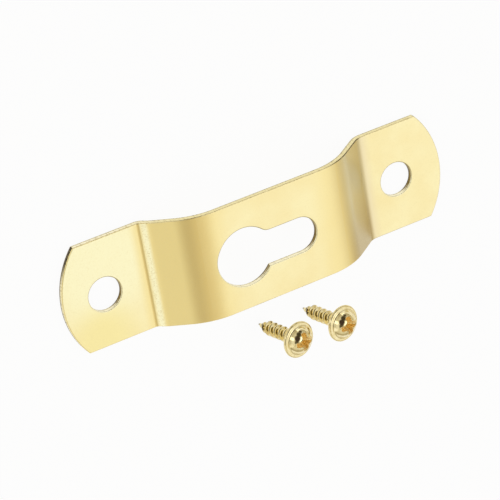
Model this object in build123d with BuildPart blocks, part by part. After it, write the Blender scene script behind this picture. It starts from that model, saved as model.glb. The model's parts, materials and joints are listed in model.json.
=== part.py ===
from build123d import *
import math
import os

os.makedirs("parts", exist_ok=True)

# Keyhole hanger plate with its two screws. Sizes are in millimetres.
# The origin is on the wall face, midway between the two screw holes. +X runs along the plate towards
# the narrow end of the keyhole, +Y runs across it, and +Z points away from the wall.

# The strip that the plate is punched and bent from
strip_width = 20.0
strip_thickness = 1.0
strip_shift = 0.4  # the strip lay this far off the punch, so the holes sit off its middle
rim_radius = 0.16  # the punch rolls the rims over on the room side and leaves the wall side square

# The bends, as lines on the wall side of the strip
standoff = 6.2
bridge_span = 27.6
wall_run = 7.75  # from the edge of the bridge out to the foot
foot_span = bridge_span + 2 * wall_run
bend_shift = 1.0  # the bends were pressed this far along from the middle of the punched holes
left_foot_radius = 1.0  # on the room side, where this bend is hollow
right_foot_radius = 2.8  # the press left this bend softer, as photographed
toe_run = 1.3  # beside the left foot the press drives the wall up more steeply, for this far along
toe_rise = 1.45
toe_bend_radius = 6.0  # on the wall side, where this bend is hollow
bridge_bend_radius = 11.0  # on the wall side, where this bend is hollow

# The two holes in the feet, for the screws
screw_hole_diameter = 6.3
hole_clearance = 3.6  # from a foot's bend to the rim of the nearer hole
screw_hole_pitch = foot_span + 2 * (bend_shift + hole_clearance) + screw_hole_diameter

# The blank, cropped at both ends by one obround tool
end_margin = 4.85  # from the rim of the hole nearer to its end
blank_shift = 0.6
overall_length = screw_hole_pitch + screw_hole_diameter + 2 * (blank_shift + end_margin)
end_radius = 16.0

# The keyhole in the bridge: a screw or nail head enters at the round end and slides into the slot
entry_diameter = 10.8
entry_place = -5.0
slot_width = 6.6
slot_end_place = 5.8
upper_neck_radius = 2.3  # one neck is well rounded, as photographed, and the other is nearly sharp
lower_neck_radius = 0.3

# The screws: a round washer head with a cross recess, a coarse thread and a gimlet point
screw_length = 10.0  # from the point to the washer
core_diameter = 1.8
thread_diameter = 2.6
thread_pitch = 1.25
thread_root_width = 0.62
thread_crest_width = 0.14
thread_sink = 0.1  # the ridge starts this far inside the core
thread_end_gap = 0.35  # bare neck under the washer
point_length = 2.6
point_tip_diameter = 0.2
point_bare_length = 0.5  # the thread starts this far up the point
washer_diameter = 6.6
washer_thickness = 0.65
dome_diameter = 5.1
dome_height = 1.85
dome_foot_radius = 0.4
recess_diameter = 4.2  # the cross, measured level with the top of the dome
recess_well_diameter = 2.0
recess_wing_width = 1.0
recess_depth = 2.0
recess_floor_share = 0.4  # the cross narrows to this share of its mouth at the floor

# The loose screws stand beside the plate on their points and lean towards +X, as photographed
screw_lean = 12.0
left_screw_place = (-1.5, -17.3)
right_screw_place = (7.5, -17.7)

cut_overrun = 1.0  # every cut runs this far past the face that it leaves by


# Hanger plate: one strip, bent up beside each foot and over at each end of the bridge
left_end = blank_shift - overall_length / 2
right_end = blank_shift + overall_length / 2
left_foot_bend = bend_shift - foot_span / 2
right_foot_bend = bend_shift + foot_span / 2
bend_stations = [
    (left_end - cut_overrun, 0),
    (left_foot_bend, 0),
    (left_foot_bend + toe_run, toe_rise),
    (bend_shift - bridge_span / 2, standoff),
    (bend_shift + bridge_span / 2, standoff),
    (right_foot_bend, 0),
    (right_end + cut_overrun, 0),
]
left_radii = [left_foot_radius + strip_thickness, toe_bend_radius, bridge_bend_radius]
right_radii = [bridge_bend_radius, right_foot_radius + strip_thickness]
plate_height = standoff + strip_thickness
room_side_share = 0.5  # a face looks into the room when its normal rises by at least this much
neck_place = entry_place + math.sqrt(entry_diameter**2 - slot_width**2) / 2

with BuildPart() as hanger_plate:
    with BuildSketch(Plane.XZ.offset(-strip_shift)):
        with BuildLine():
            FilletPolyline(*bend_stations, radius=left_radii + right_radii)
            offset(amount=strip_thickness, side=Side.LEFT)
        make_face()
    extrude(amount=strip_width / 2, both=True)

    with BuildSketch():
        with Locations((blank_shift, 0)):
            SlotOverall(overall_length, 2 * end_radius)
    extrude(amount=plate_height + cut_overrun, mode=Mode.INTERSECT)

    with GridLocations(screw_hole_pitch, 0, 2, 1):
        Hole(screw_hole_diameter / 2)

    with BuildSketch(Plane.XY.offset(standoff - cut_overrun)) as keyhole:
        with Locations((entry_place, 0)):
            Circle(entry_diameter / 2)
        with Locations(((entry_place + slot_end_place) / 2, 0)):
            SlotCenterToCenter(slot_end_place - entry_place, slot_width)
        for side, neck_radius in ((1, upper_neck_radius), (-1, lower_neck_radius)):
            corners = keyhole.vertices().filter_by(lambda corner: corner.Y * side > 0)
            fillet(corners.sort_by(lambda corner: abs(corner.X - neck_place))[0], neck_radius)
    extrude(amount=strip_thickness + 2 * cut_overrun, mode=Mode.SUBTRACT)

    # The rims are the edges that bound only one of the faces that look into the room
    plate_faces = hanger_plate.faces()
    room_faces = plate_faces.filter_by(lambda face: face.normal_at(face.center()).Z > room_side_share)
    room_edges = room_faces.edges()
    rims = room_edges.filter_by(lambda rim: sum(rim.is_same(edge) for edge in room_edges) == 1)
    fillet(rims, rim_radius)

hanger_plate.part.label = "hanger_plate"
export_step(hanger_plate.part, "parts/hanger_plate.step")


# Screw, made upright with its point at the origin
core_radius = core_diameter / 2
thread_radius = thread_diameter / 2
tip_radius = point_tip_diameter / 2
thread_depth = thread_radius - core_radius
point_slope = (core_radius - tip_radius) / point_length
joint_turn = 12.0  # the two threads overlap by this many degrees where the point meets the shank
joint_height = thread_pitch * joint_turn / 360


def ridge_section(helix):
    """Draw the thread's section, square to the start of its helix."""
    start = helix @ 0
    with BuildSketch(Plane(origin=start, x_dir=(start.X, start.Y, 0), z_dir=helix % 0)) as section:
        with BuildLine():
            Polyline(
                (-thread_sink, -thread_root_width / 2),
                (thread_depth, -thread_crest_width / 2),
                (thread_depth, thread_crest_width / 2),
                (-thread_sink, thread_root_width / 2),
                close=True,
            )
        make_face()
    return section.sketch


# The thread on the point runs out inside a cone that ends at the tip
with BuildPart() as point_thread:
    with BuildLine() as point_helix:
        Helix(
            thread_pitch,
            point_length - point_bare_length,
            tip_radius + point_slope * point_bare_length,
            center=(0, 0, point_bare_length),
            cone_angle=math.degrees(math.atan(point_slope)),
        )
    sweep(ridge_section(point_helix.line), path=point_helix.line, is_frenet=True)
    with BuildSketch(Plane.XZ):
        with BuildLine():
            Polyline(
                (0, 0),
                (tip_radius, 0),
                (thread_radius, point_length),
                (thread_radius, screw_length),
                (0, screw_length),
                close=True,
            )
        make_face()
    revolve(axis=Axis.Z, mode=Mode.INTERSECT)

point_thread_end = point_helix.line @ 1
point_thread_turn = joint_turn - math.degrees(math.atan2(point_thread_end.Y, point_thread_end.X))

washer_radius = washer_diameter / 2
rim_half = washer_thickness / 2
washer_top = screw_length + washer_thickness
dome_radius = dome_diameter / 2
dome_top = washer_top + dome_height
dome_ball_radius = (dome_radius**2 + dome_height**2) / (2 * dome_height)
dome_sweep = math.degrees(math.asin(dome_radius / dome_ball_radius))

with BuildPart() as screw:
    # Point, shank, washer and dome in one turned profile
    with BuildSketch(Plane.XZ) as turned:
        with BuildLine():
            Polyline((0, dome_top), (0, 0), (tip_radius, 0), (core_radius, point_length))
            Polyline((core_radius, point_length), (core_radius, screw_length))
            Line((core_radius, screw_length), (washer_radius - rim_half, screw_length))
            CenterArc((washer_radius - rim_half, screw_length + rim_half), rim_half, -90, 180)
            Line((washer_radius - rim_half, washer_top), (dome_radius, washer_top))
            CenterArc((0, dome_top - dome_ball_radius), dome_ball_radius, 90 - dome_sweep, dome_sweep)
        make_face()
        dome_foot = turned.vertices().sort_by_distance((dome_radius, washer_top))[0]
        fillet(dome_foot, dome_foot_radius)
    revolve(axis=Axis.Z)

    # Thread on the shank, then the one on the point
    with BuildLine() as shank_helix:
        Helix(
            thread_pitch,
            screw_length - thread_end_gap - point_length + joint_height,
            core_radius,
            center=(0, 0, point_length - joint_height),
        )
    sweep(ridge_section(shank_helix.line), path=shank_helix.line, is_frenet=True)
    add(point_thread.part, rotation=(0, 0, point_thread_turn))

    # Cross recess: four wings that taper to the floor, then the tapered well between them
    recess_levels = ((dome_top, 1), (dome_top - recess_depth, recess_floor_share))
    for height, share in recess_levels:
        with BuildSketch(Plane.XY.offset(height)):
            Rectangle(recess_diameter * share, recess_wing_width)
            Rectangle(recess_wing_width, recess_diameter * share)
    loft(mode=Mode.SUBTRACT)
    for height, share in recess_levels:
        with BuildSketch(Plane.XY.offset(height)):
            Circle(recess_well_diameter * share / 2)
    loft(mode=Mode.SUBTRACT)

screw_lift = tip_radius * math.sin(math.radians(screw_lean))

for name, place in (("screw_left", left_screw_place), ("screw_right", right_screw_place)):
    with BuildPart() as loose_screw:
        with Locations(Location((*place, screw_lift), (0, screw_lean, 0))):
            add(screw.part)
    loose_screw.part.label = name
    export_step(loose_screw.part, f"parts/{name}.step")
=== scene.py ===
# %% [markdown]
# This lesson dresses a keyhole hanger plate and its two screws: a strip of thin steel, punched, pressed
# into a low bridge and plated to look like brass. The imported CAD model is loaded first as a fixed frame,
# so every piece stands where the CAD says. Every length below is written in millimetres times MM,
# because Blender works in metres.

import json
import math

import bmesh
import bpy
from mathutils import Matrix, Vector


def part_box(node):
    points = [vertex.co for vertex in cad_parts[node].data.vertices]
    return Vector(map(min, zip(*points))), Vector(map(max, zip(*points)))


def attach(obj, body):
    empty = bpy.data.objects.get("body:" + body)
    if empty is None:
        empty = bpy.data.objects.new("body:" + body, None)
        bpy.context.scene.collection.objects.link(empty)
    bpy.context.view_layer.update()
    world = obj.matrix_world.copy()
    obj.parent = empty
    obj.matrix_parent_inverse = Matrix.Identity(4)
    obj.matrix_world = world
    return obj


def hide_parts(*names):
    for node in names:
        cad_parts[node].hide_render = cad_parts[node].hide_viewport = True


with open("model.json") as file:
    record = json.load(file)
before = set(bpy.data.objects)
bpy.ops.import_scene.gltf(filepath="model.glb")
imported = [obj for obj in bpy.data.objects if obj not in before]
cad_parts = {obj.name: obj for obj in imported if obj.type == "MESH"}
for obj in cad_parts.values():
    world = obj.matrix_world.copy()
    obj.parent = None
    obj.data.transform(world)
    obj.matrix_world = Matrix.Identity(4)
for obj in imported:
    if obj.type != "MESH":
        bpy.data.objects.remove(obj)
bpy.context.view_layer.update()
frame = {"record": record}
mounts = {mount["name"]: mount for mount in frame["record"]["mounts"]}
MM = 0.001

# %% [markdown]
# The photograph was taken through a long lens, so far lines hardly shrink. A camera could be placed by
# eye, but here its angle, distance and roll were worked out from the corners and holes that show in the
# photograph. The camera aims at the middle of the bridge and is then rolled about its own line of sight,
# because the plate was photographed leaning back with its long side on the diagonal.

# %% Camera at the photograph's viewing angle
camera_azimuth = math.radians(220.946)
camera_elevation = math.radians(54.26)
camera_roll = math.radians(123.14)
camera_distance = 522.62 * MM
camera_aim = Vector((-2.146, -1.274, 3.0)) * MM
camera_lens = 218.4  # in millimetres, as the width of the sensor is
sensor_width = 36.0
nearest_seen = 10 * MM
farthest_seen = 20.0  # in metres, well past the edge of the floor


def put_in_scene(name, data):
    """Make an object that shows this data and link it into the scene."""
    shown = bpy.data.objects.new(name, data)
    bpy.context.scene.collection.objects.link(shown)
    return shown


to_camera = Vector((
    math.sin(camera_azimuth) * math.cos(camera_elevation),
    -math.cos(camera_azimuth) * math.cos(camera_elevation),
    math.sin(camera_elevation),
))
camera = put_in_scene("photo_camera", bpy.data.cameras.new("photo_camera"))
camera.data.sensor_width = sensor_width
camera.data.lens = camera_lens
camera.data.clip_start = nearest_seen
camera.data.clip_end = farthest_seen
level_view = (-to_camera).to_track_quat("-Z", "Y").to_matrix()
camera.matrix_world = (
    Matrix.Translation(camera_aim + to_camera * camera_distance)
    @ (level_view @ Matrix.Rotation(camera_roll, 3, "Z")).to_4x4()
)
bpy.context.scene.camera = camera
bpy.context.scene.view_settings.view_transform = "Standard"
print("camera stands at, in mm:", [round(place / MM, 1) for place in camera.location])

# %% [markdown]
# A node material is a small network. Three helpers keep each network short: one turns the sRGB hex colour
# that a painter would pick into the linear numbers that Blender mixes, one adds a node of any kind, sets
# its sockets or settings and links what feeds it, and one starts a material with an empty network. A
# node that feeds another one gives the first of its outputs that is in use.

# %% Colours and nodes
mix_a, mix_b = 6, 7  # the two sockets of a Mix node that take colours


def linear(hex_colour):
    """Turn an sRGB hex colour into linear red, green, blue and alpha."""
    channels = [int(hex_colour[place:place + 2], 16) / 255 for place in (1, 3, 5)]
    return [c / 12.92 if c <= 0.04045 else ((c + 0.055) / 1.055) ** 2.4 for c in channels] + [1.0]


def add_node(tree, kind, settings=None, links=None):
    """Add a node, set its sockets or its own settings by name, and link sockets or nodes into it."""
    node = tree.nodes.new("ShaderNode" + kind)
    for name, value in (settings or {}).items():
        if isinstance(name, int) or name in node.inputs:
            node.inputs[name].default_value = value
        else:
            setattr(node, name, value)
    for name, source in (links or {}).items():
        if isinstance(source, bpy.types.Node):
            source = next(output for output in source.outputs if output.enabled)
        tree.links.new(source, node.inputs[name])
    return node


def start_material(name):
    """Start a node material with an empty tree."""
    material = bpy.data.materials.new(name)
    material.use_nodes = True
    material.node_tree.nodes.clear()
    return material, material.node_tree


# %% [markdown]
# Metal shows its surroundings, so the studio is as much a part of the finish as the plating. The world is
# a pale room with darker walls low down, soft boxes that are brighter, darker gaps between them, and the
# dark place where the camera and its stand are. Lamps could do this, but a metal shows a lamp as a hard
# patch. So each box is a smooth cap of directions: the dot product of the ray's direction with the box's
# own direction, eased between two angles. The camera itself sees plain white there.

# %% Studio world
studio_boxes = (
    # towards x, y, z; angle where it is full; angle where it ends; colour; level
    ("low_walls", (0.0, 0.0, -1.0), 92, 130, "#E6DCC0", 0.60),
    ("right_low", (0.88, -0.46, 0.12), 22, 50, "#FFF4DC", 0.72),
    ("key_box", (0.385, -0.436, 0.813), 16, 42, "#FFFFFF", 1.045),
    ("wide_gap", (-0.44, -0.42, 0.79), 5, 48, "#FFFDF4", 0.88),
    ("bridge_gap", (-0.10, -0.44, 0.89), 3, 20, "#FFEFCC", 0.76),
    ("top_box", (0.20, 0.16, 0.97), 8, 22, "#FFFFFF", 1.9),
    ("left_strip", (-0.75, 0.44, 0.47), 6, 16, "#FFFFFF", 1.9),
    ("back_strip", (0.38, 0.92, 0.08), 6, 16, "#FFFFFF", 1.7),
    ("toe_box", (-0.845, -0.44, 0.29), 6, 20, "#FFFFFF", 1.10),
    ("dark_gap", (-0.44, -0.42, 0.79), 2, 14, "#FAE8CB", 0.56),
    ("camera_stand", (-0.45, -0.02, 0.88), 10, 20, "#D8C8A0", 0.16),
    ("camera_place", (-0.25, 0.45, 0.86), 17, 27, "#D8B8B0", 0.09),
    ("camera_side", (0.14, 0.76, 0.62), 13, 23, "#D8C8A8", 0.10),
    ("camera_far_side", (0.47, 0.83, 0.30), 7, 15, "#D8C8A8", 0.12),
)
room_colour = "#FFFEFA"
room_level = 0.88
backdrop_colour = "#FFFFFF"

world = bpy.data.worlds.new("product_studio")
world.use_nodes = True
bpy.context.scene.world = world
tree = world.node_tree
tree.nodes.clear()
ray_direction = add_node(tree, "TexCoord").outputs["Generated"]
glow = add_node(tree, "Background", {"Color": linear(room_colour), "Strength": room_level})
for name, towards, full_angle, end_angle, colour, level in studio_boxes:
    facing = add_node(
        tree, "VectorMath", {"operation": "DOT_PRODUCT", 1: Vector(towards).normalized()},
        {0: ray_direction},
    )
    cap = add_node(
        tree,
        "MapRange",
        {
            "interpolation_type": "SMOOTHSTEP",
            "From Min": math.cos(math.radians(end_angle)),
            "From Max": math.cos(math.radians(full_angle)),
        },
        {"Value": facing},
    )
    box = add_node(tree, "Background", {"Color": linear(colour), "Strength": level, "label": name})
    glow = add_node(tree, "MixShader", {}, {0: cap, 1: glow, 2: box})
backdrop = add_node(tree, "Background", {"Color": linear(backdrop_colour), "Strength": 1.0})
rays = add_node(tree, "LightPath")
seen = add_node(tree, "MixShader", {}, {0: rays.outputs["Is Camera Ray"], 1: glow, 2: backdrop})
add_node(tree, "OutputWorld", {}, {"Surface": seen})
print("studio boxes:", [box[0] for box in studio_boxes])

# %% [markdown]
# The floor is a sheet of white paper. A plain diffuse white would look grey, so where the camera or a
# reflection sees it, most of it is a steady white and the rest is the lit paper. The soft shadow under
# the bridge stays, only paler.

# %% Paper floor
floor_radius = 3.0  # in metres, so that its edge is out of sight from every side
floor_segments = 96
floor_drop = 0.02 * MM  # the paper lies this far under the plate, so that the two never share a plane
paper_colour = "#F4F4F2"
paper_share = 0.06

floor_mesh = bpy.data.meshes.new("paper_floor")
disc = bmesh.new()
bmesh.ops.create_circle(disc, cap_ends=True, radius=floor_radius, segments=floor_segments)
bmesh.ops.translate(disc, verts=disc.verts, vec=(0, 0, -floor_drop))
disc.to_mesh(floor_mesh)
disc.free()
floor = put_in_scene("paper_floor", floor_mesh)

paper, tree = start_material("matt_white_paper")
lit_paper = add_node(tree, "BsdfDiffuse", {"Color": linear(paper_colour)})
steady_white = add_node(tree, "Emission", {"Color": linear(backdrop_colour), "Strength": 1.0})
rays = add_node(tree, "LightPath")
shiny = add_node(
    tree, "Math", {"operation": "MAXIMUM"},
    {0: rays.outputs["Is Glossy Ray"], 1: rays.outputs["Is Transmission Ray"]},
)
seen = add_node(tree, "Math", {"operation": "MAXIMUM"}, {0: rays.outputs["Is Camera Ray"], 1: shiny})
white_share = add_node(tree, "Math", {"operation": "MULTIPLY", 1: 1 - paper_share}, {0: seen})
mixed = add_node(tree, "MixShader", {}, {0: white_share, 1: lit_paper, 2: steady_white})
add_node(tree, "OutputMaterial", {}, {"Surface": mixed})
floor_mesh.materials.append(paper)
print("floor:", floor_segments, "sides, radius in m:", floor_radius)

# %% [markdown]
# The press bends the strip five times. Beside the left foot it drives the wall up steeply for a short
# way, which is the toe, and there the tool coins the metal. At the right foot it makes one softer bend.
# The finish follows these places, so they are named before it.

# %% Line of the pressed strip
plate_low, plate_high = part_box("hanger_plate")
strip_thickness = 1.0 * MM
standoff = plate_high.z - strip_thickness
bend_shift = 1.0 * MM  # the bends lie this far along from the middle between the screw holes
bridge_span = 27.6 * MM
wall_run = 7.75 * MM
foot_span = bridge_span + 2 * wall_run
toe_run = 1.3 * MM
toe_rise = 1.45 * MM
toe_lean = math.atan2(toe_rise, toe_run)
left_wall_lean = math.atan2(standoff - toe_rise, wall_run - toe_run)
right_wall_lean = math.atan2(standoff, wall_run)
leans = (toe_lean, left_wall_lean, right_wall_lean)
print("leans of the toe and the two walls, in degrees:", [round(math.degrees(lean), 1) for lean in leans])

# %% [markdown]
# The strip is mild steel with a thin satin brass plating under clear lacquer. The plating gives a pale
# lemon gold, and it isn't one colour: faint clouds lie in it. On one side of the left foot's hole a soft
# pale patch is painted sheen, and a deeper patch makes the other side darker. A picture could hold this,
# but noise and soft patches, measured in millimetres on the object, stay sharp at any size.

# %% Satin brass: clouds, painted sheen and a deeper patch
plating_colour = "#FBEFBA"
cloud_colour = "#F8E8AE"
cloud_length = 8.0 * MM
cloud_from = 0.35  # the level of the noise at which the clouds start, and the one where they are full
cloud_full = 0.65
sheen_and_deeper_patches = (
    # where, full out to, gone at, colour: painted sheen, and a deeper patch on the hole's other side
    (Vector((-29.0, 5.0, 1.0)) * MM, 5.0 * MM, 16.0 * MM, "#FCF6CA"),
    (Vector((-31.0, -8.0, 1.0)) * MM, 2.0 * MM, 9.0 * MM, "#F8EAA8"),
)

satin_brass, tree = start_material("satin_brass_plating")
coordinates = add_node(tree, "TexCoord")
place = coordinates.outputs["Object"]
clouds = add_node(
    tree, "TexNoise", {"Scale": 1 / cloud_length, "Detail": 3.0, "Roughness": 0.55}, {"Vector": place}
)
cloud_share = add_node(
    tree, "MapRange", {"From Min": cloud_from, "From Max": cloud_full}, {"Value": clouds}
)
plating = add_node(
    tree, "Mix", {"data_type": "RGBA", mix_a: linear(plating_colour), mix_b: linear(cloud_colour)},
    {0: cloud_share},
)
# the first patch paints sheen on one side of the left foot's hole, the second makes the other side deeper
for centre, full, gone, colour in sheen_and_deeper_patches:
    from_centre = add_node(tree, "VectorMath", {"operation": "DISTANCE", 1: centre}, {0: place})
    patch_share = add_node(
        tree, "MapRange", {"interpolation_type": "SMOOTHSTEP", "From Min": gone, "From Max": full},
        {"Value": from_centre},
    )
    plating = add_node(
        tree, "Mix", {"data_type": "RGBA", mix_b: linear(colour)}, {0: patch_share, mix_a: plating}
    )
print("clouds in mm:", round(cloud_length / MM, 1), "patches:", len(sheen_and_deeper_patches))

# %% [markdown]
# The bends are painted a deeper colour, as painted shade for the darker reflections of their tilted metal.
# The far wall gets darker painted shade, most of all on its lower side, and the foot beside it gets a
# little painted shade near its bend. The surface direction tells a flat from a bend, and the place along
# the strip tells which bend it is. The painted shade fades out over each foot and over the bridge's ends.

# %% Satin brass: painted shade on the bends
# painted shade: on the bends, on the far wall and deepest on its lower side, and beside each foot's bend
bend_shade_colour = "#F6E29C"
far_wall_shade_colour = "#E1D5A8"
far_wall_deepest_shade_colour = "#C9B685"
crease_shade_colour = "#EFE0B6"
bend_from = 0.995  # how upright the surface is where a bend starts to show, and where it shows fully
bend_full = 0.90
far_shade_from = 15.0 * MM  # along the strip, just past the bridge
far_shade_full = 17.5 * MM
deepest_shade_from = 3.0 * MM  # across the strip
deepest_shade_full = -8.0 * MM
shade_fade_outs = (
    # on which side of the bridge's end, gone at and full at this far out from the middle, how strong
    ("GREATER_THAN", foot_span / 2 + 2.8 * MM, foot_span / 2 + 0.7 * MM, 0.85),
    ("LESS_THAN", bridge_span / 2 - 7.0 * MM, bridge_span / 2 - 2.0 * MM, 0.70),
)

facing_out = add_node(tree, "SeparateXYZ", {}, {"Vector": coordinates.outputs["Normal"]})
upright = add_node(tree, "Math", {"operation": "ABSOLUTE"}, {0: facing_out.outputs["Z"]})
bend_shade_share = add_node(
    tree, "MapRange", {"From Min": bend_from, "From Max": bend_full}, {"Value": upright}
)
apart = add_node(tree, "SeparateXYZ", {}, {"Vector": place})
along = apart.outputs["X"]
across = apart.outputs["Y"]
from_middle = add_node(tree, "Math", {"operation": "SUBTRACT", 1: bend_shift}, {0: along})
out_from_middle = add_node(tree, "Math", {"operation": "ABSOLUTE"}, {0: from_middle})
far_wall_shade_share = add_node(tree, "MapRange", {"From Min": far_shade_from, "From Max": far_shade_full}, {"Value": along})
deepest_shade_share = add_node(
    tree,
    "MapRange",
    {"interpolation_type": "SMOOTHSTEP", "From Min": deepest_shade_from, "From Max": deepest_shade_full},
    {"Value": across},
)
far_wall_shade = add_node(
    tree, "Mix", {"data_type": "RGBA", mix_a: linear(far_wall_shade_colour), mix_b: linear(far_wall_deepest_shade_colour)},
    {0: deepest_shade_share},
)
bend_shade = add_node(
    tree, "Mix", {"data_type": "RGBA", mix_a: linear(bend_shade_colour)},
    {0: far_wall_shade_share, mix_b: far_wall_shade},
)
foot_and_bridge = []
for side, gone, full, strength in shade_fade_outs:
    fade = add_node(
        tree,
        "MapRange",
        {"interpolation_type": "SMOOTHSTEP", "From Min": gone, "From Max": full, "To Max": strength},
        {"Value": out_from_middle},
    )
    on_side = add_node(tree, "Math", {"operation": side, 1: bridge_span / 2}, {0: out_from_middle})
    foot_and_bridge.append(add_node(tree, "Math", {"operation": "MULTIPLY"}, {0: fade, 1: on_side}))
foot_crease, bridge_crease = foot_and_bridge
bend_share = add_node(tree, "Math", {"operation": "MAXIMUM"}, {0: bend_shade_share, 1: bridge_crease})
# painted shade beside each foot's bend, in its own colour at the right foot
crease_shade = add_node(
    tree, "Mix", {"data_type": "RGBA", mix_a: linear(bend_shade_colour), mix_b: linear(crease_shade_colour)},
    {0: far_wall_shade_share},
)
plating_with_crease_shade = add_node(
    tree, "Mix", {"data_type": "RGBA"}, {0: foot_crease, mix_a: plating, mix_b: crease_shade}
)
plating_with_bend_shade = add_node(
    tree, "Mix", {"data_type": "RGBA"}, {0: bend_share, mix_a: plating_with_crease_shade, mix_b: bend_shade}
)
print("satin brass nodes so far:", len(tree.nodes))

# %% [markdown]
# Fine flecks lie in the plating all over. Along the toe beside the left foot a narrow band is a painted
# highlight: it is paler and brighter than the rest, and more flecked. The band could be a piece of its
# own, but it is the same skin, so only its colour changes.

# %% Satin brass: flecks and a painted highlight on the toe
fleck_colour = "#EADCA4"
fleck_length = 0.30 * MM
fleck_from = 0.50
fleck_full = 0.80
fleck_cover = 0.30
# painted highlight: a paler band along the toe, with darker flecks in it
toe_highlight_colour = "#FFF9CE"
toe_highlight_fleck_colour = "#DCCB8C"
toe_fleck_from = 0.48
toe_fleck_full = 0.70
toe_fleck_cover = 0.6
toe_highlight_middle = foot_span / 2 - 0.20 * MM  # seen from above, on the room side
toe_highlight_half = 0.42 * MM
toe_highlight_soft = 0.22 * MM

flecks = add_node(
    tree, "TexNoise", {"Scale": 1 / fleck_length, "Detail": 2.0, "Roughness": 0.6}, {"Vector": place}
)
fleck_share = add_node(
    tree, "MapRange", {"From Min": fleck_from, "From Max": fleck_full, "To Max": fleck_cover},
    {"Value": flecks},
)
flecked = add_node(
    tree, "Mix", {"data_type": "RGBA", mix_b: linear(fleck_colour)}, {0: fleck_share, mix_a: plating_with_bend_shade}
)
off_toe_highlight = add_node(tree, "Math", {"operation": "SUBTRACT", 1: toe_highlight_middle}, {0: out_from_middle})
off_toe_highlight_size = add_node(tree, "Math", {"operation": "ABSOLUTE"}, {0: off_toe_highlight})
toe_highlight_share = add_node(
    tree, "MapRange", {"From Min": toe_highlight_half + toe_highlight_soft, "From Max": toe_highlight_half - toe_highlight_soft},
    {"Value": off_toe_highlight_size},
)
on_left = add_node(tree, "Math", {"operation": "LESS_THAN", 1: 0.0}, {0: along})
toe_highlight_left = add_node(tree, "Math", {"operation": "MULTIPLY"}, {0: toe_highlight_share, 1: on_left})
toe_fleck_share = add_node(
    tree,
    "MapRange",
    {"From Min": toe_fleck_from, "From Max": toe_fleck_full, "To Max": toe_fleck_cover},
    {"Value": flecks},
)
toe_highlight = add_node(
    tree, "Mix", {"data_type": "RGBA", mix_a: linear(toe_highlight_colour), mix_b: linear(toe_highlight_fleck_colour)},
    {0: toe_fleck_share},
)
finish_colour = add_node(
    tree, "Mix", {"data_type": "RGBA"}, {0: toe_highlight_left, mix_a: flecked, mix_b: toe_highlight}
)
# the width of the painted highlight along the toe
print("coined band in mm:", round(2 * toe_highlight_half / MM, 2), "wide")

# %% [markdown]
# The steel was rolled, which leaves long shallow waves and a fine grain drawn out along the strip. Both
# are bumps, too slight to model as points, and the grain also varies how sharply the surface reflects.
# The lacquer is the shader's coat, which whitens the bright parts.

# %% Satin brass: rolled surface and lacquer
wave_length = 7.0 * MM
wave_height = 0.010 * MM
grain_length = 0.16 * MM  # real grain is finer, and this is as fine as the picture shows
grain_height = 0.0012 * MM
grain_draw = (0.25, 1.0, 1.0)  # the grain is four times as long along the strip as across it
noise_low = 0.3  # nearly all of a noise lies between these two levels
noise_high = 0.7
satin_smoothest = 0.28
satin_roughest = 0.36
lacquer_weight = 0.25
lacquer_roughness = 0.25

waves = add_node(tree, "TexNoise", {"Scale": 1 / wave_length, "Detail": 2.0}, {"Vector": place})
wave_bump = add_node(tree, "Bump", {"Strength": 1.0, "Distance": wave_height}, {"Height": waves})
along_strip = add_node(tree, "Mapping", {"Scale": grain_draw}, {"Vector": place})
grain = add_node(tree, "TexNoise", {"Scale": 1 / grain_length, "Detail": 2.0}, {"Vector": along_strip})
grain_bump = add_node(
    tree, "Bump", {"Strength": 1.0, "Distance": grain_height}, {"Height": grain, "Normal": wave_bump}
)
satin = add_node(
    tree,
    "MapRange",
    {"From Min": noise_low, "From Max": noise_high, "To Min": satin_smoothest, "To Max": satin_roughest},
    {"Value": grain},
)
metal = add_node(
    tree,
    "BsdfPrincipled",
    {"Metallic": 1.0, "Coat Weight": lacquer_weight, "Coat Roughness": lacquer_roughness},
    {"Base Color": finish_colour, "Roughness": satin, "Normal": grain_bump},
)
add_node(tree, "OutputMaterial", {}, {"Surface": metal})
print("satin brass nodes:", len(tree.nodes))

# %% [markdown]
# The punch shears the first part of the strip's thickness cleanly and tears the rest. So an edge has two
# bands, a streaked one towards the room and a thin, rough, darker one towards the wall, and the punch
# rolls its rim over. Each finish goes from a lit colour to a second colour of painted shade: by surface
# direction on the ends, holes and rims, painted dark where they turn away from the light, and by place on
# the long edges, painted palest at the left foot. The lit colour of the hole walls and rims is pale, a
# painted highlight where they face the light. The streaks run through the thickness, and they cover more
# of the shaded side of a hole. One long rim is painted nearly black with shade where it climbs the far
# wall.

# %% Sheared edges, with painted shade and painted highlight
streak_width = 0.20 * MM
streak_draw = (1.0, 1.0, 0.12)  # the tool draws each streak out through the thickness
streak_depth = 0.01 * MM
streak_strength = 0.8
streak_from = 0.48
streak_full = 0.75
sheared_finishes = {
    # name: lit colour, painted shade colour, streaks, most that they cover on the lit and on the shaded
    # side;
    # what the painted shade turns with, from and to; roughness
    "cropped_end": ("#F2E6BA", "#3A301C", "#A09060", (1.0, 1.0), ("Normal", "Y", 0.28, 0.50), 0.38),
    "pierced_wall": ("#FFF6D2", "#8A7438", "#5E4E28", (0.40, 1.0), ("Normal", "X", -0.30, -0.80), 0.40),
    "torn_edge": ("#DDD0A2", "#74664A", "#5E5036", (1.0, 1.0), ("Normal", "X", -0.15, -0.50), 0.50),
    "slit_edge": ("#FFF6D4", "#F4E7AF", "#C5B272", (1.0, 1.0), ("Object", "X", -26 * MM, -16 * MM), 0.34),
    "rolled_rim": ("#FFF8D2", "#AC9850", "#CEBE7A", (0.6, 0.6), ("Normal", "Y", 0.20, -0.40), 0.34),
    "slit_rim": ("#EEDFAA", "#2E2412", "#C8B57A", (1.0, 1.0), ("Normal", "X", 0.12, 0.35), 0.34),
}
sheared_brass = []
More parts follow.
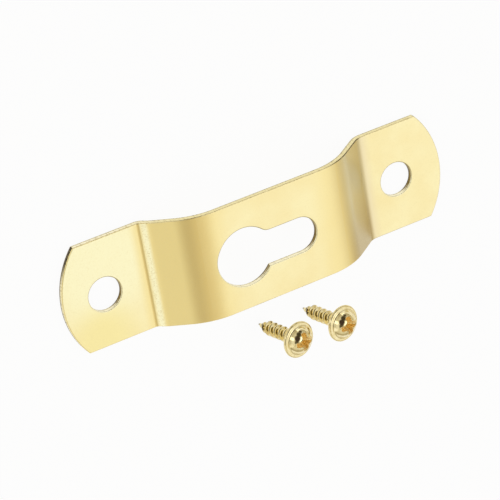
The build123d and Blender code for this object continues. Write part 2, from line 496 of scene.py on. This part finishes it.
for name, finish in sheared_finishes.items():
    lit_colour, painted_shade_colour, streak_colour, streak_covers, shade_turn, roughness = finish
    shade_source, shade_axis, shade_from, shade_to = shade_turn
    material, tree = start_material(name)
    coordinates = add_node(tree, "TexCoord")
    apart = add_node(tree, "SeparateXYZ", {}, {"Vector": coordinates.outputs[shade_source]})
    # painted shade: by direction or by place, the edge turns from its lit colour to its painted shade
    # colour
    painted_shade_share = add_node(
        tree, "MapRange", {"From Min": shade_from, "From Max": shade_to},
        {"Value": apart.outputs[shade_axis]},
    )
    lit_and_shaded = add_node(
        tree, "Mix", {"data_type": "RGBA", mix_a: linear(lit_colour), mix_b: linear(painted_shade_colour)},
        {0: painted_shade_share},
    )
    through = add_node(tree, "Mapping", {"Scale": streak_draw}, {"Vector": coordinates.outputs["Object"]})
    streaks = add_node(tree, "TexNoise", {"Scale": 1 / streak_width, "Detail": 3.0}, {"Vector": through})
    most_streaked = add_node(
        tree, "MapRange", {"To Min": streak_covers[0], "To Max": streak_covers[1]}, {"Value": painted_shade_share}
    )
    streak_share = add_node(
        tree, "MapRange", {"From Min": streak_from, "From Max": streak_full},
        {"Value": streaks, "To Max": most_streaked},
    )
    streaked = add_node(
        tree, "Mix", {"data_type": "RGBA", mix_b: linear(streak_colour)}, {0: streak_share, mix_a: lit_and_shaded}
    )
    streak_bump = add_node(
        tree, "Bump", {"Strength": streak_strength, "Distance": streak_depth}, {"Height": streaks}
    )
    metal = add_node(
        tree, "BsdfPrincipled", {"Metallic": 1.0, "Roughness": roughness},
        {"Base Color": streaked, "Normal": streak_bump},
    )
    add_node(tree, "OutputMaterial", {}, {"Surface": metal})
    sheared_brass.append(material)
print("edge finishes:", list(sheared_finishes))

# %% [markdown]
# The plate starts as a flat blank. Its outlines could be cut with Booleans, but those leave ragged faces
# that show in a reflection. Here each outline is a chain of arcs, and every point keeps the direction
# that looks out of the metal. Moving the points back along it gives the rounded rims exactly.

# %% Walks along arcs
same_place = 0.001 * MM  # points nearer to each other than this are one point


def arc(centre, radius, start, sweep, steps):
    """Walk along an arc, in degrees. Give each point with the direction that looks out of the metal."""
    side = 1 if sweep > 0 else -1
    walk = []
    for step in range(steps + 1):
        angle = math.radians(start + sweep * step / steps)
        outwards = Vector((math.cos(angle), math.sin(angle)))
        walk.append((Vector(centre) + radius * outwards, side * outwards))
    return walk


def chain(*arcs):
    """Join arcs into one closed outline, leaving out points that stand on each other."""
    outline = []
    for point, outwards in (step for walk in arcs for step in walk):
        if not outline or (point - outline[-1][0]).length > same_place:
            outline.append((point, outwards))
    if (outline[0][0] - outline[-1][0]).length < same_place:
        outline.pop()
    return outline


# %% [markdown]
# Both ends were cropped by one large round tool, which leaves a corner where each end meets a long edge.
# The strip's two long edges lie unequally far from the line of the holes, so each corner has its own
# angle. Plating builds up on a sharp corner, so it is drawn with a very small rounding.

# %% Outline of the cropped strip
end_radius = 16.0 * MM
corner_radius = 0.22 * MM
end_steps = 72
corner_steps = 5

left_centre = plate_low.x + end_radius
right_centre = plate_high.x - end_radius


def corner_angle(reach):
    """The angle on the end arc at which it meets the long edge that lies this far from the middle."""
    return math.degrees(math.asin((reach - corner_radius) / (end_radius - corner_radius)))


def corner(centre_x, side, reach, start):
    """The small rounding where an end arc meets a long edge."""
    turn = math.radians(corner_angle(reach))
    across = (end_radius - corner_radius) * math.cos(turn)
    middle = (centre_x + side * across, math.copysign(reach - corner_radius, 180 - start))
    return arc(middle, corner_radius, start, 90 - corner_angle(reach), corner_steps)


upper = plate_high.y
lower = -plate_low.y
upper_angle = corner_angle(upper)
lower_angle = corner_angle(lower)
blank_outline = chain(
    arc((right_centre, 0), end_radius, -lower_angle, lower_angle + upper_angle, end_steps),
    corner(right_centre, 1, upper, upper_angle),
    corner(left_centre, -1, upper, 90),
    arc((left_centre, 0), end_radius, 180 - upper_angle, lower_angle + upper_angle, end_steps),
    corner(left_centre, -1, lower, 180 + lower_angle),
    corner(right_centre, 1, lower, 270),
)
print("points in the blank's outline:", len(blank_outline))

# %% [markdown]
# A round hole in each foot takes a screw. The keyhole's round end lets a screw's head in, and its slot is
# too narrow to let it out again. The upper neck between the two is well rounded and the lower one nearly
# sharp. Sizes that the record gives for the mounts are read from it, so both stay the same.

# %% Outlines of the holes
hole_steps = 96
slot_end_steps = 48
upper_neck_steps = 12
lower_neck_steps = 8

screw_hole_radius = mounts["screw_holes"]["dims"]["hole_r_mm"] * MM
screw_hole_pitch = mounts["screw_holes"]["dims"]["spacing_x_mm"] * MM
hole_outlines = [
    chain(arc((side * screw_hole_pitch / 2, 0), screw_hole_radius, 180, -360, hole_steps))
    for side in (-1, 1)
]

entry_radius = 5.4 * MM
entry_place = -5.0 * MM
slot_half = mounts["keyhole"]["dims"]["r_mm"] * MM
slot_end_place = mounts["keyhole"]["pos_m"][0]
upper_neck = 2.3 * MM
lower_neck = 0.3 * MM


def neck_facts(radius):
    """Turn, in degrees, at which a neck arc leaves the round end, with the place of its centre."""
    height = slot_half + radius
    turn = math.asin(height / (entry_radius + radius))
    return math.degrees(turn), entry_place + (entry_radius + radius) * math.cos(turn), height


upper_turn, upper_x, upper_y = neck_facts(upper_neck)
lower_turn, lower_x, lower_y = neck_facts(lower_neck)
keyhole_outline = chain(
    arc((entry_place, 0), entry_radius, -lower_turn, lower_turn + upper_turn - 360, hole_steps),
    arc((upper_x, upper_y), upper_neck, 180 + upper_turn, 90 - upper_turn, upper_neck_steps),
    arc((slot_end_place, 0), slot_half, 90, -180, slot_end_steps),
    arc((lower_x, -lower_y), lower_neck, 90, 90 - lower_turn, lower_neck_steps),
)
print("points in a hole and in the keyhole:", len(hole_outlines[0]), len(keyhole_outline))

# %% [markdown]
# A punch rolls the metal over on the side that it enters and leaves the other side nearly square. So the
# rim is a larger quarter round on the room side and a very small one on the wall side, with the torn band
# beside it. Each point keeps its surface direction in a layer of the mesh, for the shading later.

# %% Levels of the rim
room_rim = 0.16 * MM
wall_rim = 0.04 * MM
torn_height = 0.28 * MM
room_rim_steps = 5
wall_rim_steps = 2

rim = []  # inset, height and tilt of each ring, from the wall side to the room side
for step in range(wall_rim_steps + 1):
    tilt = math.radians(-90 + 90 * step / wall_rim_steps)
    rim.append((wall_rim * (1 - math.cos(tilt)), wall_rim * (1 + math.sin(tilt)), tilt))
rim.append((0.0, torn_height, 0.0))
for step in range(room_rim_steps + 1):
    tilt = math.radians(90 * step / room_rim_steps)
    height = strip_thickness - room_rim * (1 - math.sin(tilt))
    rim.append((room_rim * (1 - math.cos(tilt)), height, tilt))
torn_band = wall_rim_steps  # the bands of faces between the two roundings are the sheared edge itself
clean_band = wall_rim_steps + 1
print("heights of the rings, in mm:", [round(height / MM, 3) for inset, height, tilt in rim])

# %% [markdown]
# Rings of points round each outline, joined by bands of faces, make the edges, and each band gets the
# finish that its part of the edge has. Both flat sides are then filled with triangles, which need no
# points between the outlines.

# %% Flat blank with rolled rims
satin_slot, cropped_slot, pierced_slot, torn_slot, slit_slot, rim_slot, slit_rim_slot = range(7)
slit_share = 0.999  # a wall that looks this squarely across the strip belongs to a long edge


def edge_finish(band, outermost, across):
    """The material slot of a face, from its band, its outline and how squarely it looks across."""
    if band <= torn_band:
        return torn_slot
    if band == clean_band:
        if not outermost:
            return pierced_slot
        return cropped_slot if abs(across) < slit_share else slit_slot
    if not outermost:
        return rim_slot
    return slit_rim_slot if across > slit_share else satin_slot


blank = bmesh.new()
facing = blank.verts.layers.float_vector.new("facing")
wall_side_edges = []
room_side_edges = []
for outline in [blank_outline, *hole_outlines, keyhole_outline]:
    rings = []
    for inset, height, tilt in rim:
        ring = []
        for point, outwards in outline:
            corner_point = blank.verts.new((*(point - inset * outwards), height))
            corner_point[facing] = (*(math.cos(tilt) * outwards), math.sin(tilt))
            ring.append(corner_point)
        rings.append(ring)
    for band, (below, above) in enumerate(zip(rings, rings[1:])):
        for here in range(len(below)):
            there = (here + 1) % len(below)
            face = blank.faces.new((below[here], below[there], above[there], above[here]))
            face.material_index = edge_finish(band, outline is blank_outline, outline[here][1].y)
    for ring, edges in ((rings[0], wall_side_edges), (rings[-1], room_side_edges)):
        edges += [blank.edges.get((ring[here - 1], ring[here])) for here in range(len(ring))]
bmesh.ops.triangle_fill(blank, use_beauty=True, edges=wall_side_edges, normal=(0, 0, -1))
bmesh.ops.triangle_fill(blank, use_beauty=True, edges=room_side_edges, normal=(0, 0, 1))
bmesh.ops.recalc_face_normals(blank, faces=blank.faces)
print("faces of the flat blank:", len(blank.faces))

# %% [markdown]
# The press lifts the middle of the strip into a bridge. Its line on the wall side is a chain of straight
# runs and arcs, as in the CAD model. A curve with a bevel could follow it, but the holes would then have
# to be cut through bent metal. So the line is only a list of stations, each with a place along the strip,
# a height and a lean.

# %% Stations along the bends
left_foot_radius = 2.0 * MM  # on the wall side, like the others
right_foot_radius = 3.8 * MM
toe_bend_radius = 6.0 * MM
bridge_bend_radius = 11.0 * MM
foot_bend_steps = 14
toe_bend_steps = 8
bridge_bend_steps = 28

# Each bend: place out from the middle, height, lean nearer the foot and the bridge, radius, steps
left_bends = (
    (foot_span / 2, 0, 0, toe_lean, left_foot_radius, foot_bend_steps),
    (foot_span / 2 - toe_run, toe_rise, toe_lean, left_wall_lean, toe_bend_radius, toe_bend_steps),
    (bridge_span / 2, standoff, left_wall_lean, 0, bridge_bend_radius, bridge_bend_steps),
)
right_bends = (
    (bridge_span / 2, standoff, right_wall_lean, 0, bridge_bend_radius, bridge_bend_steps),
    (foot_span / 2, 0, 0, right_wall_lean, right_foot_radius, foot_bend_steps),
)
press_bends = [
    (bend_shift - out, height, outer_lean, inner_lean, radius, steps)
    for out, height, outer_lean, inner_lean, radius, steps in left_bends
] + [
    (bend_shift + out, height, -inner_lean, -outer_lean, radius, steps)
    for out, height, outer_lean, inner_lean, radius, steps in right_bends
]
stations = [(plate_low.x, 0, 0)]  # place, height and lean of the strip's wall side
for place, height, lean_before, lean_after, radius, steps in press_bends:
    tangent = radius * math.tan(abs(lean_after - lean_before) / 2)
    turn = math.copysign(1, lean_after - lean_before)
    start_x = place - tangent * math.cos(lean_before)
    start_z = height - tangent * math.sin(lean_before)
    centre_x = start_x - turn * radius * math.sin(lean_before)
    centre_z = start_z + turn * radius * math.cos(lean_before)
    for step in range(steps + 1):
        lean = lean_before + (lean_after - lean_before) * step / steps
        stations.append((
            centre_x + turn * radius * math.sin(lean), centre_z - turn * radius * math.cos(lean), lean
        ))
stations.append((plate_high.x, 0, 0))
print("stations along the strip:", len(stations))

# %% [markdown]
# The blank is sliced across at each station, so that it has points wherever it has to bend. Every point
# is then lifted and leant with the line under it, so the strip keeps its thickness round the bends, and
# its surface direction leans with it.

# %% Press the bridge
slice_tolerance = 1e-8

for place, height, lean in stations[1:-1]:
    everything = blank.verts[:] + blank.edges[:] + blank.faces[:]
    bmesh.ops.bisect_plane(
        blank, geom=everything, dist=slice_tolerance, plane_co=(place, 0, 0), plane_no=(1, 0, 0)
    )


def press_line(place):
    """Height and lean of the wall side at a place along the strip, between the stations beside it."""
    place = min(max(place, stations[0][0]), stations[-1][0])
    for before, after in zip(stations, stations[1:]):
        if before[0] <= place <= after[0] and after[0] > before[0]:
            share = (place - before[0]) / (after[0] - before[0])
            return [before[item] + share * (after[item] - before[item]) for item in (1, 2)]
    return [0, 0]


pressed_normals = []
for point in blank.verts:
    height, lean = press_line(point.co.x)
    leaning = Matrix.Rotation(-lean, 3, "Y")
    wall_side = Vector((point.co.x, point.co.y, height))
    pressed_normals.append((leaning @ point[facing]).normalized())
    point.co = wall_side + leaning @ Vector((0, 0, point.co.z))
plate_mesh = bpy.data.meshes.new("pressed_strip")
blank.to_mesh(plate_mesh)
blank.free()
plate_mesh.shade_smooth()
plate_mesh.normals_split_custom_set_from_vertices(pressed_normals)
for material in (satin_brass, *sheared_brass):
    plate_mesh.materials.append(material)
plate = put_in_scene("pressed_strip", plate_mesh)
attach(plate, "plate")
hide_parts("hanger_plate")
print("pressed strip:", len(plate_mesh.vertices), "points")

# %% [markdown]
# The screws are cold-headed and thread-rolled steel, tumbled bright and plated a deeper gold than the
# strip. They are nearly mirror bright, so they show the studio sharply. Under each ridge of the thread a
# dark brown band is painted shade. Darker mottling over the plating is partly tarnish and partly painted
# reflection. The recess is punched and stays rougher, and in it the light bounces from gold to gold and
# turns orange.

# %% Bright brass plating, with painted shade under the ridges
cloud_size = 1.2 * MM
tarnish_and_reflection_size = 0.5 * MM
tarnish_and_reflection_from = 0.50
tarnish_and_reflection_full = 0.70
ripple_height = 0.012 * MM
recess_ripple_height = 0.001 * MM

screw_finishes = {
    # name: colour, its clouds, its tarnish and painted reflection, most that they cover; roughness from
    # and to; ripple
    "bright_brass_plating": ("#FFF3C8", "#E2CE8E", "#B8A468", 0.45, 0.08, 0.14, ripple_height),
    # painted shade: the dark brown plating under each ridge of the thread
    "painted_shade_under_ridge": ("#7C6834", "#5C4A22", "#3C3010", 0.45, 0.22, 0.30, ripple_height),
    "warm_brass_in_recess": ("#FFEFBE", "#FFE2A0", "#E6B45C", 0.05, 0.36, 0.44, recess_ripple_height),
}
screw_brass = []
for name, finish in screw_finishes.items():
    colour, shade, tarnish_and_reflection_colour, most_tarnish_and_reflection, polish_from, polish_to, ripple = finish
    material, tree = start_material(name)
    place = add_node(tree, "TexCoord").outputs["Object"]
    clouds = add_node(tree, "TexNoise", {"Scale": 1 / cloud_size, "Detail": 2.0}, {"Vector": place})
    plating = add_node(
        tree, "Mix", {"data_type": "RGBA", mix_a: linear(colour), mix_b: linear(shade)}, {0: clouds}
    )
    # darker mottling, partly tarnish and partly painted reflection
    tarnish_and_reflection = add_node(
        tree, "TexNoise", {"Scale": 1 / tarnish_and_reflection_size, "Detail": 2.0, "Roughness": 0.6}, {"Vector": place}
    )
    tarnish_and_reflection_share = add_node(
        tree, "MapRange", {"From Min": tarnish_and_reflection_from, "From Max": tarnish_and_reflection_full, "To Max": most_tarnish_and_reflection},
        {"Value": tarnish_and_reflection},
    )
    with_tarnish_and_reflection = add_node(
        tree, "Mix", {"data_type": "RGBA", mix_b: linear(tarnish_and_reflection_colour)}, {0: tarnish_and_reflection_share, mix_a: plating}
    )
    ripple_bump = add_node(tree, "Bump", {"Strength": 1.0, "Distance": ripple}, {"Height": clouds})
    tumbled = add_node(
        tree,
        "MapRange",
        {"From Min": noise_low, "From Max": noise_high, "To Min": polish_from, "To Max": polish_to},
        {"Value": clouds},
    )
    metal = add_node(
        tree, "BsdfPrincipled", {"Metallic": 1.0},
        {"Base Color": with_tarnish_and_reflection, "Roughness": tumbled, "Normal": ripple_bump},
    )
    add_node(tree, "OutputMaterial", {}, {"Surface": metal})
    screw_brass.append(material)
print("screw finishes:", list(screw_finishes))

# %% [markdown]
# A screw thread could be cut with a Boolean, but rolled metal has one skin. So the shank is a sheet of
# points wound round the axis: row after row climbs by one pitch each turn, and each keeps its place on
# the ridge or in the groove. The ridge follows the cone of the point and fades out under the head.

# %% Section of the thread
screw_length = 10.0 * MM
core_radius = 0.9 * MM
thread_radius = 1.3 * MM
thread_pitch = 1.25 * MM
ridge_foot = 0.262 * MM  # half the ridge's width where it leaves the core
ridge_crest = 0.07 * MM
thread_end_gap = 0.35 * MM
point_length = 2.6 * MM
tip_radius = 0.1 * MM
thread_fade = 0.5 * MM

# Rows of points across one ridge and one groove, as shares of a pitch from the ridge's middle
ridge_rows = (-0.5, -0.34, -0.21, -0.2, -0.07, -0.056, 0.0, 0.056, 0.07, 0.2, 0.21, 0.34)
# rows up to here get the painted shade under the ridge
ridge_shade_to = -0.01  # rows up to this share lie under the ridge, on the side away from the head
thread_top = screw_length - thread_end_gap


def ramp(value, low, high):
    """Rise from 0 at low to 1 at high, and stay there."""
    return min(max((value - low) / (high - low), 0.0), 1.0)


def thread_skin(offset, height):
    """Radius of the skin this far along the axis from the ridge's middle, and this high."""
    core = tip_radius + (core_radius - tip_radius) * ramp(height, 0, point_length)
    envelope = tip_radius + (thread_radius - tip_radius) * ramp(height, 0, point_length)
    flank = 1 - ramp(abs(offset), ridge_crest, ridge_foot)
    fade = 1 - ramp(height, thread_top - thread_fade, thread_top)
    return min(core + (thread_radius - core_radius) * flank * fade, max(envelope, core))


print("ridge stands proud by, in mm:", round((thread_radius - core_radius) / MM, 2))

# %% [markdown]
# The winding runs a little past the point and past the neck. There its points are pressed flat against
# that level and merged, which closes the skin neatly without a cut.

# %% Wind the thread
columns = 144
thread_merge = 0.002 * MM
bright_slot, ridge_shade_slot, recess_slot = range(3)

screw_skin = bmesh.new()
turns = math.ceil(screw_length / thread_pitch) + 2
rows = [(turn + share) * thread_pitch for turn in range(-1, turns) for share in ridge_rows]
wound = []
for row in rows:
    ring = []
    for column in range(columns + 1):
        climb = row + thread_pitch * column / columns
        height = min(max(climb, 0), screw_length)
        middle = round((climb - thread_pitch * column / columns) / thread_pitch) * thread_pitch
        offset = height - middle - thread_pitch * column / columns
        offset -= round(offset / thread_pitch) * thread_pitch
        radius = thread_skin(offset, height)
        angle = 2 * math.pi * column / columns
        ring.append(screw_skin.verts.new((radius * math.cos(angle), radius * math.sin(angle), height)))
    wound.append(ring)
for row_number, (below, above) in enumerate(zip(wound, wound[1:])):
    # the rows under each ridge get the painted shade
    in_ridge_shade = ridge_rows[row_number % len(ridge_rows)] < ridge_shade_to
    for column in range(columns):
        face = screw_skin.faces.new((below[column], below[column + 1], above[column + 1], above[column]))
        face.material_index = ridge_shade_slot if in_ridge_shade else bright_slot
bmesh.ops.remove_doubles(screw_skin, verts=screw_skin.verts, dist=thread_merge)
print("points in the wound thread:", len(screw_skin.verts))

# %% [markdown]
# Above the neck the head is turned: the washer's flat underside, its full round rim, the hollow where
# the dome rises, and the dome. The dome is part of a ball, and the hollow is an arc that touches both the
# ball and the washer's flat top, so its centre is found from these two.

# %% Profile of the head
washer_radius = 3.3 * MM
washer_thickness = 0.65 * MM
dome_radius = 2.55 * MM
dome_height = 1.85 * MM
dome_foot_radius = 0.4 * MM
washer_rim_steps = 12
dome_foot_steps = 8
tight_ring = 0.12 * MM  # a ring this close to a corner or a curve keeps the shading tight there
rim_ring = 0.3 * MM  # and so does one this far in from the start of the washer's round rim

washer_top = screw_length + washer_thickness
dome_top = washer_top + dome_height
ball_radius = (dome_radius**2 + dome_height**2) / (2 * dome_height)
ball_centre = dome_top - ball_radius
rim_half = washer_thickness / 2
rim_centre = washer_radius - rim_half
foot_centre_height = washer_top + dome_foot_radius
foot_centre_radius = math.sqrt(
    (ball_radius + dome_foot_radius) ** 2 - (foot_centre_height - ball_centre) ** 2
)
foot_turn = math.atan2(foot_centre_height - ball_centre, foot_centre_radius)

turned_profile = [(core_radius + tight_ring, screw_length), (rim_centre - rim_ring, screw_length)]
for step in range(washer_rim_steps + 1):
    turn = math.radians(-90 + 180 * step / washer_rim_steps)
    turned_profile.append((
        rim_centre + rim_half * math.cos(turn),
        screw_length + rim_half + rim_half * math.sin(turn),
    ))
turned_profile.append((foot_centre_radius + tight_ring, washer_top))
for step in range(dome_foot_steps + 1):
    turn = math.radians(-90) - (math.radians(90) - foot_turn) * step / dome_foot_steps
    turned_profile.append((
        foot_centre_radius + dome_foot_radius * math.cos(turn),
        foot_centre_height + dome_foot_radius * math.sin(turn),
    ))
print("points in the head's profile:", len(turned_profile))

# %% [markdown]
# The cross recess is part of the same skin, because a punch sinks it into the metal. In each direction
# its reach is a smooth blend of two wings and the round well between them, and it narrows towards the
# floor. Where its wall comes out through the dome is found by halving, as no short formula gives it.

# %% Shape of the recess
recess_reach = 2.1 * MM
wing_half = 0.5 * MM
well_radius = 1.0 * MM
recess_depth = 2.0 * MM
recess_floor_share = 0.4
corner_sharpness = 10
smallest_side = 1e-6  # keeps a wing that points straight along its direction from dividing by nothing
inside_share = 0.1  # the recess surely reaches this far
halvings = 40


def dome_level(radius):
    """Height of the dome at a radius."""
    return ball_centre + math.sqrt(ball_radius**2 - radius**2)


def recess_radius(angle, depth):
    """How far the recess reaches in a direction, this deep under the top of the dome."""
    share = 1 - (1 - recess_floor_share) * min(depth / recess_depth, 1)
    reach = recess_reach * share
    soft = corner_sharpness
    across = max(abs(math.sin(angle)), smallest_side)
    along = max(abs(math.cos(angle)), smallest_side)
    first_wing = ((across / wing_half) ** soft + (1 / reach) ** soft) ** (-1 / soft)
    second_wing = ((along / wing_half) ** soft + (1 / reach) ** soft) ** (-1 / soft)
    return (first_wing**soft + second_wing**soft + (well_radius * share) ** soft) ** (1 / soft)


def mouth_radius(angle):
    """Where the recess wall comes out through the dome, found by halving."""
    inner = inside_share * recess_reach
    outer = dome_radius
    for _ in range(halvings):
        middle = (inner + outer) / 2
        if recess_radius(angle, dome_top - dome_level(middle)) > middle:
            inner = middle
        else:
            outer = middle
    return inner


angles = [2 * math.pi * column / columns for column in range(columns)]
mouths = [mouth_radius(angle) for angle in angles]
print("mouth of the recess, in mm:", round(min(mouths) / MM, 2), "to", round(max(mouths) / MM, 2))

# %% [markdown]
# Each column of points runs up the turned profile and the dome to the mouth of the recess, over its
# rounded lip and down the tapering wall to the floor, which dips a little towards its middle.

# %% Rings of the head
recess_lip = 0.07 * MM
dome_steps = 12
lip_steps = 5
recess_steps = 14
floor_shares = (0.75, 0.5, 0.25)
floor_dip = 0.1 * MM

# Each ring is a list of radius and height, one pair for each column, up and then in
head_rings = [[(radius, height)] * columns for radius, height in turned_profile]
dome_start = turned_profile[-1][0]
for step in range(1, dome_steps + 1):
    ring = []
    for mouth in mouths:
        radius = dome_start + (mouth + recess_lip - dome_start) * step / dome_steps
        ring.append((radius, dome_level(radius)))
    head_rings.append(ring)
for step in range(1, lip_steps):
    turn = math.radians(90 * step / lip_steps)
    ring = []
    for mouth in mouths:
        radius = mouth + recess_lip * (1 - math.sin(turn))
        ring.append((radius, dome_level(mouth) - recess_lip * (1 - math.cos(turn))))
    head_rings.append(ring)
recess_ring = len(head_rings)
for step in range(recess_steps + 1):
    ring = []
    for angle, mouth in zip(angles, mouths):
        lip_depth = dome_top - dome_level(mouth) + recess_lip
        depth = lip_depth + (recess_depth - lip_depth) * step / recess_steps
        ring.append((min(recess_radius(angle, depth), mouth), dome_top - depth))
    head_rings.append(ring)
floor_height = dome_top - recess_depth
for share in floor_shares:
    height = floor_height - floor_dip * (1 - share)
    head_rings.append([(recess_radius(angle, recess_depth) * share, height) for angle in angles])
print("rings in the head:", len(head_rings), "of them in the recess:", len(head_rings) - recess_ring)

# %% [markdown]
# The head could be a second mesh that overlaps the shank, but a gap would show under the washer. So its
# rings start from the neck's own points, sorted round the axis to match the columns, and the skin closes
# at the bottom of the well and at the tip.

# %% Join the head to the shank
neck = [point for point in screw_skin.verts if point.co.z > screw_length - same_place]
neck.sort(key=lambda point: math.atan2(point.co.y, point.co.x) % (2 * math.pi))
if 2 * math.pi - math.atan2(neck[-1].co.y, neck[-1].co.x) % (2 * math.pi) < math.pi / columns:
    neck = [neck[-1], *neck[:-1]]  # the first point came out just short of a whole turn
below = neck
for ring_number, ring in enumerate(head_rings):
    above = [
        screw_skin.verts.new((radius * math.cos(angle), radius * math.sin(angle), height))
        for angle, (radius, height) in zip(angles, ring)
    ]
    for column in range(columns):
        there = (column + 1) % columns
        face = screw_skin.faces.new((below[column], below[there], above[there], above[column]))
        face.material_index = recess_slot if ring_number >= recess_ring else bright_slot
    below = above
well_bottom = screw_skin.verts.new((0, 0, floor_height - floor_dip))
for column in range(columns):
    face = screw_skin.faces.new((below[column], below[(column + 1) % columns], well_bottom))
    face.material_index = recess_slot
tip_edges = [edge for edge in screw_skin.edges if edge.is_boundary]
bmesh.ops.holes_fill(screw_skin, edges=tip_edges)
bmesh.ops.recalc_face_normals(screw_skin, faces=screw_skin.faces)
open_edges = sum(not edge.is_manifold for edge in screw_skin.edges)
print("points in a screw:", len(screw_skin.verts), "open edges:", open_edges, "neck:", len(neck))

# %% [markdown]
# Both screws are the same piece. They stand on their points beside the plate and lean the same way, as
# the photograph shows them, so one mesh is copied, leant and moved to each place.

# %% Stand the two screws up
screw_lean = math.radians(12.0)
screw_places = {"left": (-1.5 * MM, -17.3 * MM), "right": (7.5 * MM, -17.7 * MM)}
sharp_angle = math.radians(38)  # edges that turn by more than this stay crisp

screw_lift = tip_radius * math.sin(screw_lean)
for side, place in screw_places.items():
    screw_mesh = bpy.data.meshes.new(f"round_washer_screw_{side}")
    screw_skin.to_mesh(screw_mesh)
    screw_mesh.transform(Matrix.Translation((*place, screw_lift)) @ Matrix.Rotation(screw_lean, 4, "Y"))
    screw_mesh.shade_smooth()
    screw_mesh.set_sharp_from_angle(angle=sharp_angle)
    for material in screw_brass:
        screw_mesh.materials.append(material)
    screw = put_in_scene(f"round_washer_screw_{side}", screw_mesh)
    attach(screw, f"{side}_screw")
    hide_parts(f"screw_{side}")
screw_skin.free()
print("screws:", list(screw_places), "lifted in mm by", round(screw_lift / MM, 3))
